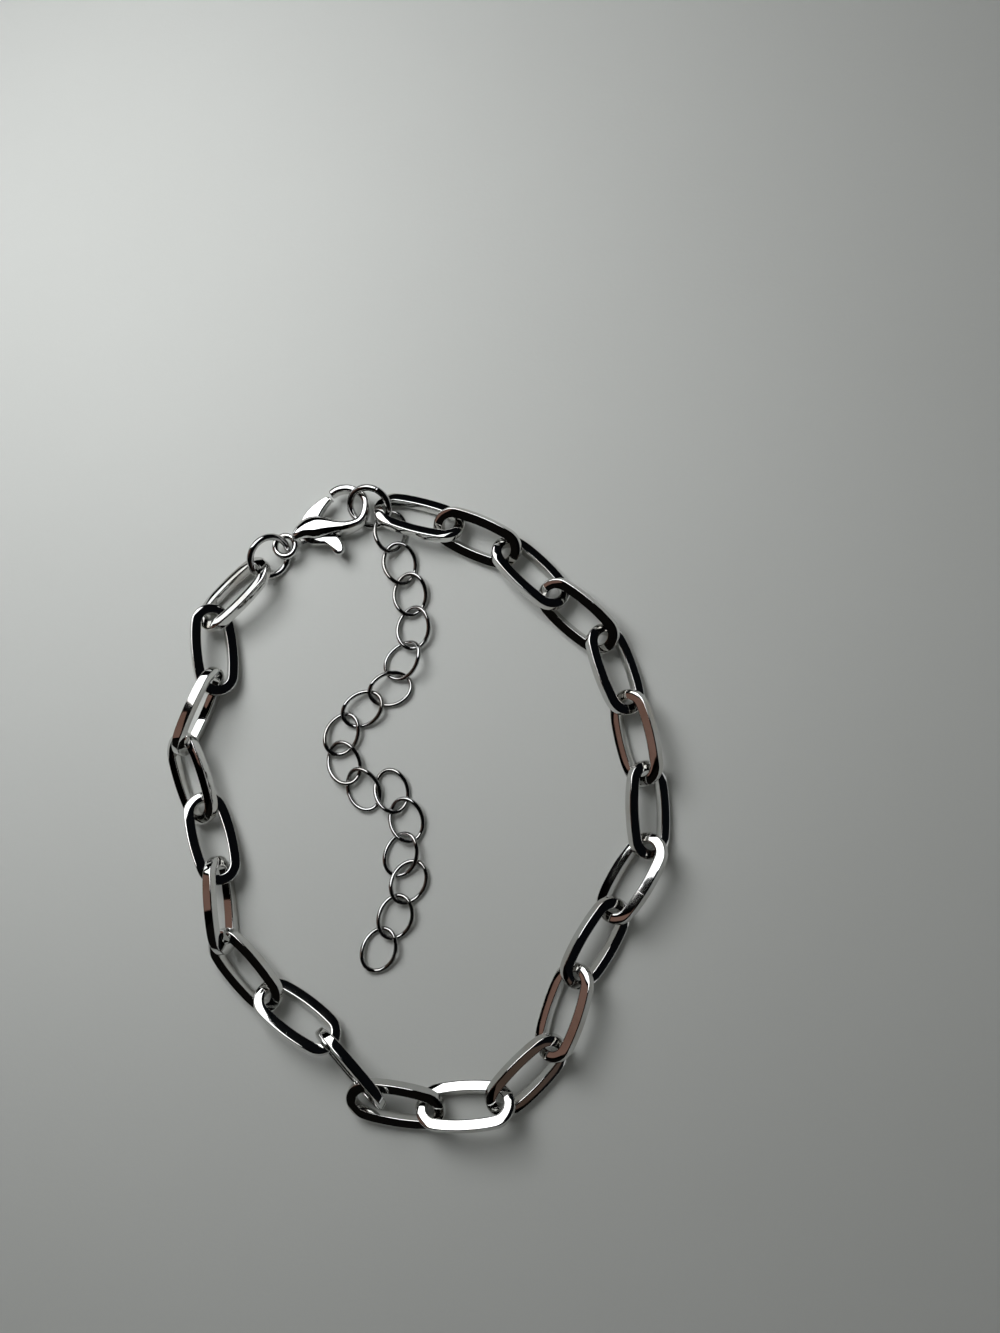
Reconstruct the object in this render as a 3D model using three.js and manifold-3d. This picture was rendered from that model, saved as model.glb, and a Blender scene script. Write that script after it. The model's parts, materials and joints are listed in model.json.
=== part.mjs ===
// Paperclip chain bracelet, laid down in a loop with its clasp fastened and its extender inside.
// Millimetres, +Z up. The surface that it lies on is z = 0, under the middle of the loop.

import * as THREE from 'three';
import { mergeVertices } from 'three/addons/utils/BufferGeometryUtils.js';
import Module from 'manifold-3d';

const wasm = await Module();
wasm.setup();

// Driving dimensions
const LINK = { length: 10.1, width: 4.9, wireWidth: 1.05, wireHeight: 1.1, chamfer: 0.16, sideBow: 0.22 };
const JUMP_RING = { length: 5.2, width: 5.2, wire: 0.7, twist: 0 };
const EXTENDER_RING = { length: 4.95, width: 3.85, wire: 0.42, twist: 17 };
const CLASP = {
  x: -17.17, y: 10.75, heading: 26.4,
  bodyHeight: 3.0, armHeight: 1.2, cheekChamfer: 0.45,
  eyeRadius: 1.34, eyeHole: 0.84, eyeHeight: 0.58,
  slotHeight: 1.3, slotStart: 1.75, slotEnd: 5.95, slotWidth: 6,
  pivotU: 2.8, pivotV: 0.35, pinRadius: 0.4, pinLength: 1.5,
  leverHeight: 1.1, leverBore: 0.49,
};
const LINK_SEGMENTS = { end: 8, side: 2 };
const RING_SEGMENTS = { around: 20, section: 6 };
const CLASP_SEGMENTS = { outline: 3, edge: 2, pin: 14 };
const SAME_POINT = 1e-4;

// How the chain lies: middle, direction of travel and lean, left side up, of each link.
const LINK_LAY = [
  { x: -22.7, y: 5.5, heading: -142, lean: 26 },
  { x: -24.0, y: -0.6, heading: -66, lean: -32 },
  { x: -25.7, y: -7.8, heading: -108, lean: -72 },
  { x: -26.1, y: -15.2, heading: -66, lean: 25 },
  { x: -23.0, y: -21.1, heading: -70, lean: -23 },
  { x: -21.8, y: -27.8, heading: -79, lean: -74 },
  { x: -18.7, y: -34.3, heading: -46, lean: 18 },
  { x: -13.1, y: -38.9, heading: -31, lean: -36 },
  { x: -6.9, y: -43.2, heading: -42, lean: 62 },
  { x: -2.6, y: -46.8, heading: -2, lean: 20 },
  { x: 4.6, y: -47.4, heading: 3, lean: -28 },
  { x: 10.9, y: -43.3, heading: 41, lean: 24 },
  { x: 14.4, y: -36.6, heading: 75, lean: -34 },
  { x: 17.4, y: -30.1, heading: 61, lean: 34 },
  { x: 20.9, y: -24.1, heading: 56, lean: -27 },
  { x: 22.9, y: -16.8, heading: 91, lean: 27 },
  { x: 20.8, y: -9.2, heading: 105, lean: -32 },
  { x: 19.0, y: -1.7, heading: 113, lean: 25 },
  { x: 14.8, y: 3.4, heading: 143, lean: -24 },
  { x: 9.9, y: 8.1, heading: 138, lean: 26 },
  { x: 3.9, y: 11.7, heading: 160, lean: -25 },
  { x: -2.4, y: 14.1, heading: 169, lean: 26 },
];
const EXTENDER_LAY = [
  { x: -5.8, y: 13.0, heading: -97, lean: -14 },
  { x: -4.6, y: 9.4, heading: -75, lean: 0 },
  { x: -2.9, y: 5.6, heading: -77, lean: 0 },
  { x: -2.3, y: 1.6, heading: -84, lean: 0 },
  { x: -4.1, y: -1.9, heading: -128, lean: 10 },
  { x: -4.7, y: -4.6, heading: -156, lean: -8 },
  { x: -8.1, y: -6.9, heading: -145, lean: 0 },
  { x: -10.5, y: -9.7, heading: -115, lean: 0 },
  { x: -9.8, y: -12.7, heading: -64, lean: 0 },
  { x: -7.3, y: -15.5, heading: -70, lean: 0 },
  { x: -4.5, y: -15.5, heading: -75, lean: 0 },
  { x: -2.5, y: -18.5, heading: -73, lean: 0 },
  { x: -3.1, y: -21.9, heading: -105, lean: 8 },
  { x: -2.0, y: -24.8, heading: -109, lean: -10 },
  { x: -3.4, y: -28.6, heading: -102, lean: 0 },
  { x: -5.3, y: -32.1, heading: -109, lean: 0 },
];
const CLASP_RING_LAY = { x: -19.4, y: 9.7, heading: 28, lean: 40 };
const END_RING_LAY = { x: -7.7, y: 15.0, heading: -10, lean: 28 };

// Settling: how fast pieces sink, how strongly they keep their lay, and the room left between them.
const SETTLE = { growSteps: 300, sinkSteps: 400, quietSteps: 150, sink: 0.015, keep: 0.03, gap: 0.09 };
const REACH = { link: 0.66, eye: 0.36, hook: 0.64 };
const LAY_SAMPLES = { link: 56, ring: 48, hook: 40 };
const EXTENDER_START = 1.0;

const UP = new THREE.Vector3(0, 0, 1);
const ALONG = new THREE.Vector3(1, 0, 0);

const steel = (color, roughness) => new THREE.MeshStandardMaterial({ color, roughness, metalness: 1 });
const FINISH = {
  link: () => steel(0xc9cbcc, 0.08),
  ring: () => steel(0xc4c6c8, 0.12),
  extender: () => steel(0xbfc1c4, 0.12),
  clasp: () => steel(0xd2d4d4, 0.1),
};

// A paperclip link's outline: two round ends joined by slightly bowed sides.
function linkOutline(length, width) {
  const bow = LINK.sideBow;
  const endRadius = width / 2 - bow;
  const endX = length / 2 - endRadius;
  const points = [];
  for (const side of [1, -1]) {
    for (let i = 0; i <= LINK_SEGMENTS.end; i += 1) {
      const angle = (i / LINK_SEGMENTS.end - 0.5) * Math.PI;
      points.push([side * (endX + endRadius * Math.cos(angle)), side * endRadius * Math.sin(angle)]);
    }
    for (let i = 1; i <= LINK_SEGMENTS.side; i += 1) {
      const along = 1 - (2 * i) / (LINK_SEGMENTS.side + 1);
      points.push([side * endX * along, side * (endRadius + bow * (1 - along * along))]);
    }
  }
  return points.map(([x, y]) => new THREE.Vector2(x, y));
}

function linkGeometry() {
  const { length, width, wireWidth, wireHeight, chamfer } = LINK;
  const shape = new THREE.Shape(linkOutline(length - 2 * chamfer, width - 2 * chamfer));
  const holeLength = length - 2 * wireWidth + 2 * chamfer;
  const holeWidth = width - 2 * wireWidth + 2 * chamfer;
  shape.holes.push(new THREE.Path(linkOutline(holeLength, holeWidth)));
  const geometry = new THREE.ExtrudeGeometry(shape, {
    depth: wireHeight - 2 * chamfer,
    bevelThickness: chamfer,
    bevelSize: chamfer,
    bevelSegments: 1,
  });
  return geometry.translate(0, 0, chamfer - wireHeight / 2);
}

// Turns a ring's two ends opposite ways about its length, as curb rings are turned to lie flat.
function twistAlong(point, { length, twist }) {
  const angle = THREE.MathUtils.degToRad(twist) * (-2 * point.x / length);
  return point.applyAxisAngle(ALONG, angle);
}

// A round-wire ring whose middle line is an ellipse.
function ringGeometry(ring) {
  const radius = (ring.width - ring.wire) / 2;
  const stretch = (ring.length - ring.width) / 2;
  const { section, around } = RING_SEGMENTS;
  const geometry = new THREE.TorusGeometry(radius, ring.wire / 2, section, around);
  const place = geometry.attributes.position;
  const point = new THREE.Vector3();
  for (let i = 0; i < place.count; i += 1) {
    point.fromBufferAttribute(place, i);
    point.x += stretch * Math.cos(Math.atan2(point.y, point.x));
    twistAlong(point, ring);
    place.setXYZ(i, point.x, point.y, point.z);
  }
  return geometry;
}

function ringPath(ring) {
  const middleLength = (ring.length - ring.wire) / 2;
  const middleWidth = (ring.width - ring.wire) / 2;
  return Array.from({ length: LAY_SAMPLES.ring }, (_, i) => {
    const angle = (2 * Math.PI * i) / LAY_SAMPLES.ring;
    const flat = new THREE.Vector3(Math.cos(angle) * middleLength, Math.sin(angle) * middleWidth, 0);
    return twistAlong(flat, ring);
  });
}

function linkPath() {
  const middle = linkOutline(LINK.length - LINK.wireWidth, LINK.width - LINK.wireWidth);
  const curve = new THREE.CatmullRomCurve3(middle.map((p) => new THREE.Vector3(p.x, p.y, 0)), true);
  return curve.getSpacedPoints(LAY_SAMPLES.link).slice(0, -1);
}

// How far below its middle line a wire reaches, by the upright share of its piece's own up direction.
const roundWireDrop = (wire) => () => wire / 2;
function linkWireDrop(upright) {
  const { wireWidth, wireHeight, chamfer } = LINK;
  const sideways = Math.sqrt(Math.max(0, 1 - upright * upright));
  const lowSide = (wireWidth / 2) * sideways + (wireHeight / 2 - chamfer) * upright;
  const lowFace = (wireWidth / 2 - chamfer) * sideways + (wireHeight / 2) * upright;
  return Math.max(lowSide, lowFace);
}

const farthest = (path) => Math.max(...path.map((p) => p.length()));

// A piece at its lay, turned to its heading and leaned about its own length.
function layDown(lay, path, reach, wireDrop, height) {
  const turn = new THREE.Quaternion().setFromAxisAngle(UP, THREE.MathUtils.degToRad(lay.heading));
  const lean = new THREE.Quaternion().setFromAxisAngle(ALONG, THREE.MathUtils.degToRad(lay.lean));
  const quaternion = turn.multiply(lean);
  const position = new THREE.Vector3(lay.x, lay.y, height);
  const bound = farthest(path) + reach;
  const gyration = path.reduce((sum, p) => sum + p.lengthSq(), 0) / path.length;
  const home = { position: position.clone(), quaternion: quaternion.clone() };
  return { position, quaternion, home, path, reach, wireDrop, bound, gyration };
}

// Raises each piece of a run until it is as high as the one before it, midway between the two.
function levelAtJoints(run) {
  const heightAt = (piece, spot) => {
    const normal = UP.clone().applyQuaternion(piece.quaternion);
    const offset = spot.clone().sub(piece.position);
    return piece.position.z - (normal.x * offset.x + normal.y * offset.y) / normal.z;
  };
  for (let i = 1; i < run.length; i += 1) {
    const joint = run[i - 1].position.clone().lerp(run[i].position, 0.5);
    run[i].position.z += heightAt(run[i - 1], joint) - heightAt(run[i], joint);
  }
}

const worldPoint = (piece, local) => local.clone().applyQuaternion(piece.quaternion).add(piece.position);

// Moves a piece by a push along a direction at a point, turning it as a free body would turn.
function push(piece, arm, direction, amount) {
  const spin = arm.clone().cross(direction).multiplyScalar(amount / piece.gyration);
  piece.position.addScaledVector(direction, amount);
  const angle = spin.length();
  if (angle > 0) {
    const turn = new THREE.Quaternion().setFromAxisAngle(spin.divideScalar(angle), angle);
    piece.quaternion.premultiply(turn).normalize();
  }
}

// How readily a free piece gives way to a push along a direction at a point.
const ease = (piece, arm, direction) => 1 + arm.clone().cross(direction).lengthSq() / piece.gyration;

function separate(a, localA, b, localB, room) {
  const pointA = worldPoint(a, localA);
  const pointB = worldPoint(b, localB);
  const between = pointA.clone().sub(pointB);
  const distance = between.length();
  const depth = room - distance;
  if (depth <= 0 || distance === 0) {
    return;
  }
  const direction = between.divideScalar(distance);
  const armA = pointA.sub(a.position);
  const armB = pointB.sub(b.position);
  const easeA = a.fixed ? 0 : ease(a, armA, direction);
  const easeB = b.fixed ? 0 : ease(b, armB, direction);
  const share = depth / (easeA + easeB);
  if (!a.fixed) {
    push(a, armA, direction, share);
  }
  if (!b.fixed) {
    push(b, armB, direction, -share);
  }
}

function separatePair(a, b, grown) {
  const worldA = a.path.map((p) => worldPoint(a, p));
  const worldB = b.path.map((p) => worldPoint(b, p));
  const room = (a.reach + b.reach + SETTLE.gap) * grown;
  for (let i = 0; i < worldA.length; i += 1) {
    for (let j = 0; j < worldB.length; j += 1) {
      if (worldA[i].distanceToSquared(worldB[j]) < room * room) {
        separate(a, a.path[i], b, b.path[j], room);
      }
    }
  }
}

function standOnFloor(piece) {
  const drop = piece.wireDrop(Math.abs(UP.clone().applyQuaternion(piece.quaternion).z));
  for (const local of piece.path) {
    const point = worldPoint(piece, local);
    const depth = drop - point.z;
    if (depth > 0) {
      const arm = point.sub(piece.position);
      push(piece, arm, UP, depth / ease(piece, arm, UP));
    }
  }
}

function keepLay(piece) {
  piece.position.x += (piece.home.position.x - piece.position.x) * SETTLE.keep;
  piece.position.y += (piece.home.position.y - piece.position.y) * SETTLE.keep;
  piece.quaternion.slerp(piece.home.quaternion, SETTLE.keep);
}

// Lets the pieces find their rest. Wires first grow from thin to full size, so that linked pieces stay
// linked, then every free piece sinks until the surface and its neighbours carry it.
function settle(pieces) {
  const free = pieces.filter((piece) => !piece.fixed);
  const sinkEnd = SETTLE.growSteps + SETTLE.sinkSteps;
  for (let step = 1; step <= sinkEnd + SETTLE.quietSteps; step += 1) {
    const grown = Math.min(1, step / SETTLE.growSteps);
    if (step <= sinkEnd) {
      free.forEach(keepLay);
    }
    if (step > SETTLE.growSteps && step <= sinkEnd) {
      free.forEach((piece) => piece.position.setZ(piece.position.z - SETTLE.sink));
    }
    for (let i = 0; i < pieces.length; i += 1) {
      for (let j = i + 1; j < pieces.length; j += 1) {
        const apart = pieces[i].position.distanceTo(pieces[j].position);
        if (apart < pieces[i].bound + pieces[j].bound) {
          separatePair(pieces[i], pieces[j], grown);
        }
      }
    }
    free.forEach(standOnFloor);
  }
}

// Clasp outlines, in the clasp's own plane: u from the eye to the hook, v towards the gate.
// The arm runs from the hook's end face round to it again, the lever from the gate's end face.
const CLASP_ARM_OUTLINE = [
  [7.1, 2.65], [7.55, 2.82], [8.3, 2.7], [9.0, 2.3], [9.6, 1.52], [9.78, 0.82], [9.5, 0.05],
  [9.05, -0.58], [8.4, -0.95], [7.1, -0.88], [6.1, -0.35], [5.3, 0.55], [4.7, 1.3], [3.7, 1.72],
  [2.65, 1.45], [1.6, 0.8], [0.9, 0.55], [1.0, -0.3], [2.4, -0.55], [3.9, -1.15], [5.2, -1.48],
  [6.4, -1.52], [7.6, -1.56], [8.6, -1.42], [9.55, -0.9], [10.18, -0.07], [10.42, 0.87],
  [10.14, 1.89], [9.42, 2.74], [8.75, 3.2], [7.75, 3.45], [6.95, 3.4], [6.6, 3.14],
];
const CLASP_CHEEK_OUTLINE = [
  [1.75, 0.1], [2.5, -0.25], [3.9, -0.78], [5.2, -1.08], [6.2, -1.18], [6.5, -1.05], [5.9, -0.6],
  [5.1, 0.3], [4.45, 0.95], [3.7, 1.3], [2.8, 1.05], [2.0, 0.55],
];
const CLASP_LEVER_OUTLINE = [
  [6.4, 2.98], [5.8, 2.96], [4.5, 2.66], [3.4, 2.18], [2.6, 1.5], [2.15, 0.95], [2.02, 0.35],
  [2.25, -0.5], [2.7, -1.15], [3.55, -1.62], [4.3, -1.98], [4.65, -2.7], [4.82, -3.4], [5.15, -3.56],
  [5.5, -3.42], [5.68, -2.9], [5.72, -2.2], [5.6, -1.72], [4.9, -1.3], [4.05, -0.8], [3.7, -0.1],
  [3.95, 0.6], [4.7, 1.15], [5.35, 1.66], [6.2, 2.16], [6.82, 2.46],
];
const HOOK_MIDDLE = [
  [6.4, -1.1], [7.5, -1.25], [8.5, -1.2], [9.3, -0.74], [9.85, 0], [10.1, 0.85], [9.87, 1.7],
  [9.2, 2.52], [8.5, 2.95], [7.65, 3.13], [6.9, 3.05],
];

// A smooth outline through its points. One that is not smooth all round closes with a straight end face.
function smoothShape(points, smoothAllRound) {
  const stations = points.map(([u, v]) => new THREE.Vector3(u, v, 0));
  const curve = new THREE.CatmullRomCurve3(stations, smoothAllRound);
  const spans = smoothAllRound ? points.length : points.length - 1;
  const outline = curve.getPoints(spans * CLASP_SEGMENTS.outline);
  if (smoothAllRound) {
    outline.pop();
  }
  return new THREE.Shape(outline.map((p) => new THREE.Vector2(p.x, p.y)));
}

// A plate of the clasp, midway up the clasp's height.
function plate(shape, height, chamfer = 0) {
  const geometry = new THREE.ExtrudeGeometry(shape, {
    depth: height - 2 * chamfer,
    bevelEnabled: chamfer > 0,
    bevelThickness: chamfer,
    bevelSize: chamfer,
    bevelSegments: CLASP_SEGMENTS.edge,
  });
  return geometry.translate(0, 0, CLASP.bodyHeight / 2 - height / 2 + chamfer);
}

function toSolid(geometry) {
  const bare = geometry.clone();
  bare.deleteAttribute('normal');
  bare.deleteAttribute('uv');
  const merged = mergeVertices(bare, SAME_POINT);
  return new wasm.Manifold(new wasm.Mesh({
    numProp: 3,
    vertProperties: new Float32Array(merged.attributes.position.array),
    triVerts: new Uint32Array(merged.index.array),
  }));
}

function toGeometry(solid) {
  const mesh = solid.getMesh();
  const geometry = new THREE.BufferGeometry();
  geometry.setAttribute('position', new THREE.BufferAttribute(new Float32Array(mesh.vertProperties), 3));
  geometry.setIndex(new THREE.BufferAttribute(new Uint32Array(mesh.triVerts), 1));
  geometry.computeVertexNormals();
  return geometry;
}

function roundBar(radius, height) {
  const upright = new THREE.CylinderGeometry(radius, radius, height, CLASP_SEGMENTS.pin).rotateX(Math.PI / 2);
  return upright.translate(0, 0, CLASP.bodyHeight / 2);
}

function claspBodyGeometry() {
  const { bodyHeight, slotHeight, slotStart, slotEnd, slotWidth, pivotU, pivotV } = CLASP;
  const arm = toSolid(plate(smoothShape(CLASP_ARM_OUTLINE, false), CLASP.armHeight));
  const cheeks = toSolid(plate(smoothShape(CLASP_CHEEK_OUTLINE, true), bodyHeight, CLASP.cheekChamfer));
  const slotBox = new THREE.BoxGeometry(slotEnd - slotStart, slotWidth, slotHeight);
  const slot = toSolid(slotBox.translate((slotStart + slotEnd) / 2, 0, bodyHeight / 2));
  const pin = toSolid(roundBar(CLASP.pinRadius, CLASP.pinLength).translate(pivotU, pivotV, 0));
  const eye = toSolid(roundBar(CLASP.eyeRadius, CLASP.eyeHeight));
  const hole = toSolid(roundBar(CLASP.eyeHole, bodyHeight));
  return toGeometry(arm.add(cheeks).subtract(slot).add(pin).add(eye).subtract(hole));
}

function claspLeverGeometry() {
  const { pivotU, pivotV, leverHeight, leverBore, bodyHeight } = CLASP;
  const bore = toSolid(roundBar(leverBore, bodyHeight).translate(pivotU, pivotV, 0));
  return toGeometry(toSolid(plate(smoothShape(CLASP_LEVER_OUTLINE, false), leverHeight)).subtract(bore));
}

// The clasp lies flat and holds still while the chain settles around its eye and its hook.
function claspObstacles(placement) {
  const middleHeight = CLASP.bodyHeight / 2;
  const eyeMiddle = (CLASP.eyeRadius + CLASP.eyeHole) / 2;
  const eye = Array.from({ length: LAY_SAMPLES.ring }, (_, i) => {
    const angle = (2 * Math.PI * i) / LAY_SAMPLES.ring;
    return new THREE.Vector3(Math.cos(angle) * eyeMiddle, Math.sin(angle) * eyeMiddle, middleHeight);
  });
  const hookPoints = HOOK_MIDDLE.map(([u, v]) => new THREE.Vector3(u, v, middleHeight));
  const hook = new THREE.CatmullRomCurve3(hookPoints).getSpacedPoints(LAY_SAMPLES.hook);
  return [[eye, REACH.eye], [hook, REACH.hook]].map(([path, reach]) => (
    { ...placement, path, reach, bound: farthest(path) + reach, fixed: true }
  ));
}

// The height of a leaning piece's middle when its low side is on the surface.
function leanHeight(lay, width, wire) {
  return wire / 2 + ((width - wire) / 2) * Math.abs(Math.sin(THREE.MathUtils.degToRad(lay.lean)));
}

const linkLine = linkPath();
const extenderLine = ringPath(EXTENDER_RING);
const jumpLine = ringPath(JUMP_RING);

const links = LINK_LAY.map((lay) => (
  layDown(lay, linkLine, REACH.link, linkWireDrop, leanHeight(lay, LINK.width, LINK.wireWidth))
));
const extenderDrop = roundWireDrop(EXTENDER_RING.wire);
const extender = EXTENDER_LAY.map((lay) => (
  layDown(lay, extenderLine, EXTENDER_RING.wire / 2, extenderDrop, EXTENDER_START)
));
levelAtJoints(extender);
const jumpDrop = roundWireDrop(JUMP_RING.wire);
const [claspRing, endRing] = [CLASP_RING_LAY, END_RING_LAY].map((lay) => {
  const height = leanHeight(lay, JUMP_RING.width, JUMP_RING.wire);
  return layDown(lay, jumpLine, JUMP_RING.wire / 2, jumpDrop, height);
});
const claspPlace = {
  position: new THREE.Vector3(CLASP.x, CLASP.y, 0),
  quaternion: new THREE.Quaternion().setFromAxisAngle(UP, THREE.MathUtils.degToRad(CLASP.heading)),
};
settle([...links, claspRing, endRing, ...extender, ...claspObstacles(claspPlace)]);

const laid = new THREE.Group();
function addPiece(name, geometry, material, place) {
  const mesh = new THREE.Mesh(geometry, material);
  mesh.name = name;
  mesh.position.copy(place.position);
  mesh.quaternion.copy(place.quaternion);
  laid.add(mesh);
}
const numbered = (stem, index) => `${stem}_${String(index + 1).padStart(2, '0')}`;

links.forEach((place, i) => addPiece(numbered('link', i), linkGeometry(), FINISH.link(), place));
addPiece('clasp_ring', ringGeometry(JUMP_RING), FINISH.ring(), claspRing);
addPiece('end_ring', ringGeometry(JUMP_RING), FINISH.ring(), endRing);
extender.forEach((place, i) => (
  addPiece(numbered('extender', i), ringGeometry(EXTENDER_RING), FINISH.extender(), place)
));
addPiece('clasp_body', claspBodyGeometry(), FINISH.clasp(), claspPlace);
addPiece('clasp_lever', claspLeverGeometry(), FINISH.clasp(), claspPlace);

// The origin is on the surface, under the middle of the laid bracelet's box.
laid.updateMatrixWorld(true);
const box = new THREE.Box3().setFromObject(laid, true);
const middle = box.getCenter(new THREE.Vector3());
laid.position.set(-middle.x, -middle.y, -box.min.z);

const bracelet = new THREE.Group();
bracelet.add(laid);

export default bracelet;
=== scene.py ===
"""Paperclip chain bracelet: bright plated links, jump rings, an extender of fine rings and a clasp."""

import json
import logging
import math
from dataclasses import dataclass, field
from enum import Enum
from typing import Any, NamedTuple

import bmesh
import bpy
import numpy as np
from mathutils import Matrix, Quaternion, Vector


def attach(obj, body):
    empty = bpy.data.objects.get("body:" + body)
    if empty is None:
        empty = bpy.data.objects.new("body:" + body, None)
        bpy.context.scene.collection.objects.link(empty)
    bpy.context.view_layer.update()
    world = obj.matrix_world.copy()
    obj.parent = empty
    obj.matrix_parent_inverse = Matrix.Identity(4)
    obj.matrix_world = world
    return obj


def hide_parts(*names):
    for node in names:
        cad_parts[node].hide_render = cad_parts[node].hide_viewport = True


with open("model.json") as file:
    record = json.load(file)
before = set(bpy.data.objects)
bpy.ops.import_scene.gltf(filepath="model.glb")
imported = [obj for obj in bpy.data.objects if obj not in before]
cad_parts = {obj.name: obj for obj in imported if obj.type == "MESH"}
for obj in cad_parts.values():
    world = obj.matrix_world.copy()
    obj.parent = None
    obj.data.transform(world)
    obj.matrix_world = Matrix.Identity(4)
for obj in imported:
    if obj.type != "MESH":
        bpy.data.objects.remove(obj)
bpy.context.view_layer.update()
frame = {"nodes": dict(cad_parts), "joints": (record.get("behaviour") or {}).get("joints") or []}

MM = 0.001
SEED = 22
EXTENDER_COUNT = 16
CORNER_DIGITS = 7
LOG = logging.getLogger("bracelet")


class Body(Enum):
    """The rigid bodies that pieces ride on."""

    CHAIN = "bracelet"
    LEVER = "lever"


class Slot(Enum):
    """The record's material slots."""

    LINK = "link_plating"
    RING = "ring_plating"
    EXTENDER = "extender_plating"
    CLASP = "clasp_plating"


class Making(Enum):
    """How a metal surface was made, which sets its finest marks."""

    DRAWN = "drawn wire"
    CAST = "cast and tumbled"


def linear(code: str) -> tuple[float, float, float, float]:
    """Turns an sRGB hex colour to linear light.

    Args:
        code: Six hex digits after a hash sign.

    Returns:
        Red, green, blue and an alpha of one.
    """
    channels = [int(code[i:i + 2], 16) / 255 for i in (1, 3, 5)]
    light = [c / 12.92 if c <= 0.04045 else ((c + 0.055) / 1.055) ** 2.4 for c in channels]
    return (*light, 1.0)


def add_node(tree: bpy.types.NodeTree, kind: str, feeds: dict[Any, Any] | None = None,
             **settings: Any) -> bpy.types.Node:
    """Adds a node with its settings, values and links.

    Args:
        tree: The tree that gets the node.
        kind: The node's type name.
        feeds: Input name or number to a value, or to the output socket that feeds it.
        **settings: Properties of the node itself.

    Returns:
        The new node.
    """
    node = tree.nodes.new(kind)
    for name, value in settings.items():
        setattr(node, name, value)
    for key, feed in (feeds or {}).items():
        if isinstance(feed, bpy.types.NodeSocket):
            tree.links.new(feed, node.inputs[key])
        else:
            node.inputs[key].default_value = feed
    return node


@dataclass(frozen=True)
class PlatedFinish:
    """Bright silver-coloured plating over brass: a near mirror, broken only by its maker's marks."""

    name: str
    making: Making
    tint: str
    film: str
    roughness: tuple[float, float]
    film_mm: float = 3.5
    film_range: tuple[float, float] = (0.42, 0.72)
    ripple_mm: float = 1.6
    ripple_height_mm: float = 0.004
    mark_mm: float = 0.09
    mark_height_mm: float = 0.00025
    mark_stretch: float = 30.0

    def mark_place(self, tree: bpy.types.NodeTree, place: bpy.types.NodeSocket) -> bpy.types.NodeSocket:
        """Finds where a point lies in the pattern of finest marks.

        Args:
            tree: The material's node tree.
            place: The point in the object's own coordinates.

        Returns:
            A vector output, one unit for each mark.
        """
        per_mark = 1 / (self.mark_mm * MM)
        if self.making is Making.CAST:
            scaled = add_node(tree, "ShaderNodeVectorMath", {0: place, 3: per_mark}, operation="SCALE")
            return scaled.outputs[0]
        along = add_node(tree, "ShaderNodeAttribute", attribute_name="along").outputs["Fac"]
        around = add_node(tree, "ShaderNodeAttribute", attribute_name="around").outputs["Fac"]
        slow = add_node(tree, "ShaderNodeMath", {0: along, 1: per_mark / self.mark_stretch},
                        operation="MULTIPLY").outputs[0]
        quick = add_node(tree, "ShaderNodeMath", {0: around, 1: per_mark}, operation="MULTIPLY").outputs[0]
        return add_node(tree, "ShaderNodeCombineXYZ", {"X": slow, "Y": quick}).outputs[0]

    def material(self) -> bpy.types.Material:
        """Builds the finish, or finds it if it is already built."""
        made = bpy.data.materials.get(self.name)
        if made:
            return made
        made = bpy.data.materials.new(self.name)
        made.use_nodes = True
        tree = made.node_tree
        tree.nodes.clear()
        place = add_node(tree, "ShaderNodeTexCoord").outputs["Object"]
        # Handling leaves a faint warm film in patches, which also dulls the mirror a little.
        film = add_node(tree, "ShaderNodeTexNoise", {
            "Vector": place, "Scale": 1 / (self.film_mm * MM), "Detail": 3.0, "Roughness": 0.55,
        }).outputs["Fac"]
        patch = add_node(tree, "ShaderNodeMapRange", {
            "Value": film, "From Min": self.film_range[0], "From Max": self.film_range[1],
        }, interpolation_type="SMOOTHSTEP").outputs["Result"]
        colour = add_node(tree, "ShaderNodeMix", {"Factor": patch}, data_type="RGBA")
        for socket, shade in ((6, self.tint), (7, self.film)):
            colour.inputs[socket].default_value = linear(shade)
        gloss = add_node(tree, "ShaderNodeMapRange", {
            "Value": patch, "To Min": self.roughness[0], "To Max": self.roughness[1],
        }).outputs["Result"]
        # The plating follows slow ripples of the metal below, which bend reflections, and fine marks.
        ripple = add_node(tree, "ShaderNodeTexNoise", {
            "Vector": place, "Scale": 1 / (self.ripple_mm * MM), "Detail": 1.0, "Roughness": 0.3,
        }).outputs["Fac"]
        marks = add_node(tree, "ShaderNodeTexNoise", {
            "Vector": self.mark_place(tree, place), "Scale": 1.0, "Detail": 2.0,
        }).outputs["Fac"]
        rippled = add_node(tree, "ShaderNodeBump", {
            "Height": ripple, "Distance": self.ripple_height_mm * MM, "Strength": 1.0,
        }).outputs["Normal"]
        marked = add_node(tree, "ShaderNodeBump", {
            "Height": marks, "Distance": self.mark_height_mm * MM, "Strength": 1.0, "Normal": rippled,
        }).outputs["Normal"]
        metal = add_node(tree, "ShaderNodeBsdfPrincipled", {
            "Base Color": colour.outputs[2], "Metallic": 1.0, "Roughness": gloss, "Normal": marked,
        })
        add_node(tree, "ShaderNodeOutputMaterial", {"Surface": metal.outputs["BSDF"]})
        return made


# Rhodium-coloured plating on drawn square wire: hard black and white reflections on flat faces.
LINK_FINISH = PlatedFinish("rhodium_plated_square_wire", Making.DRAWN, "#D0D0CE", "#C2BEB8", (0.035, 0.08))
# The same plating on round wire, with its whole tint a little greyer as painted shade, standing in for the
# darker, shaded reflections that the round wire shows.
RING_FINISH = PlatedFinish("rhodium_plated_round_wire", Making.DRAWN, "#B9B9B8", "#A8A59F", (0.035, 0.08))
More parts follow.
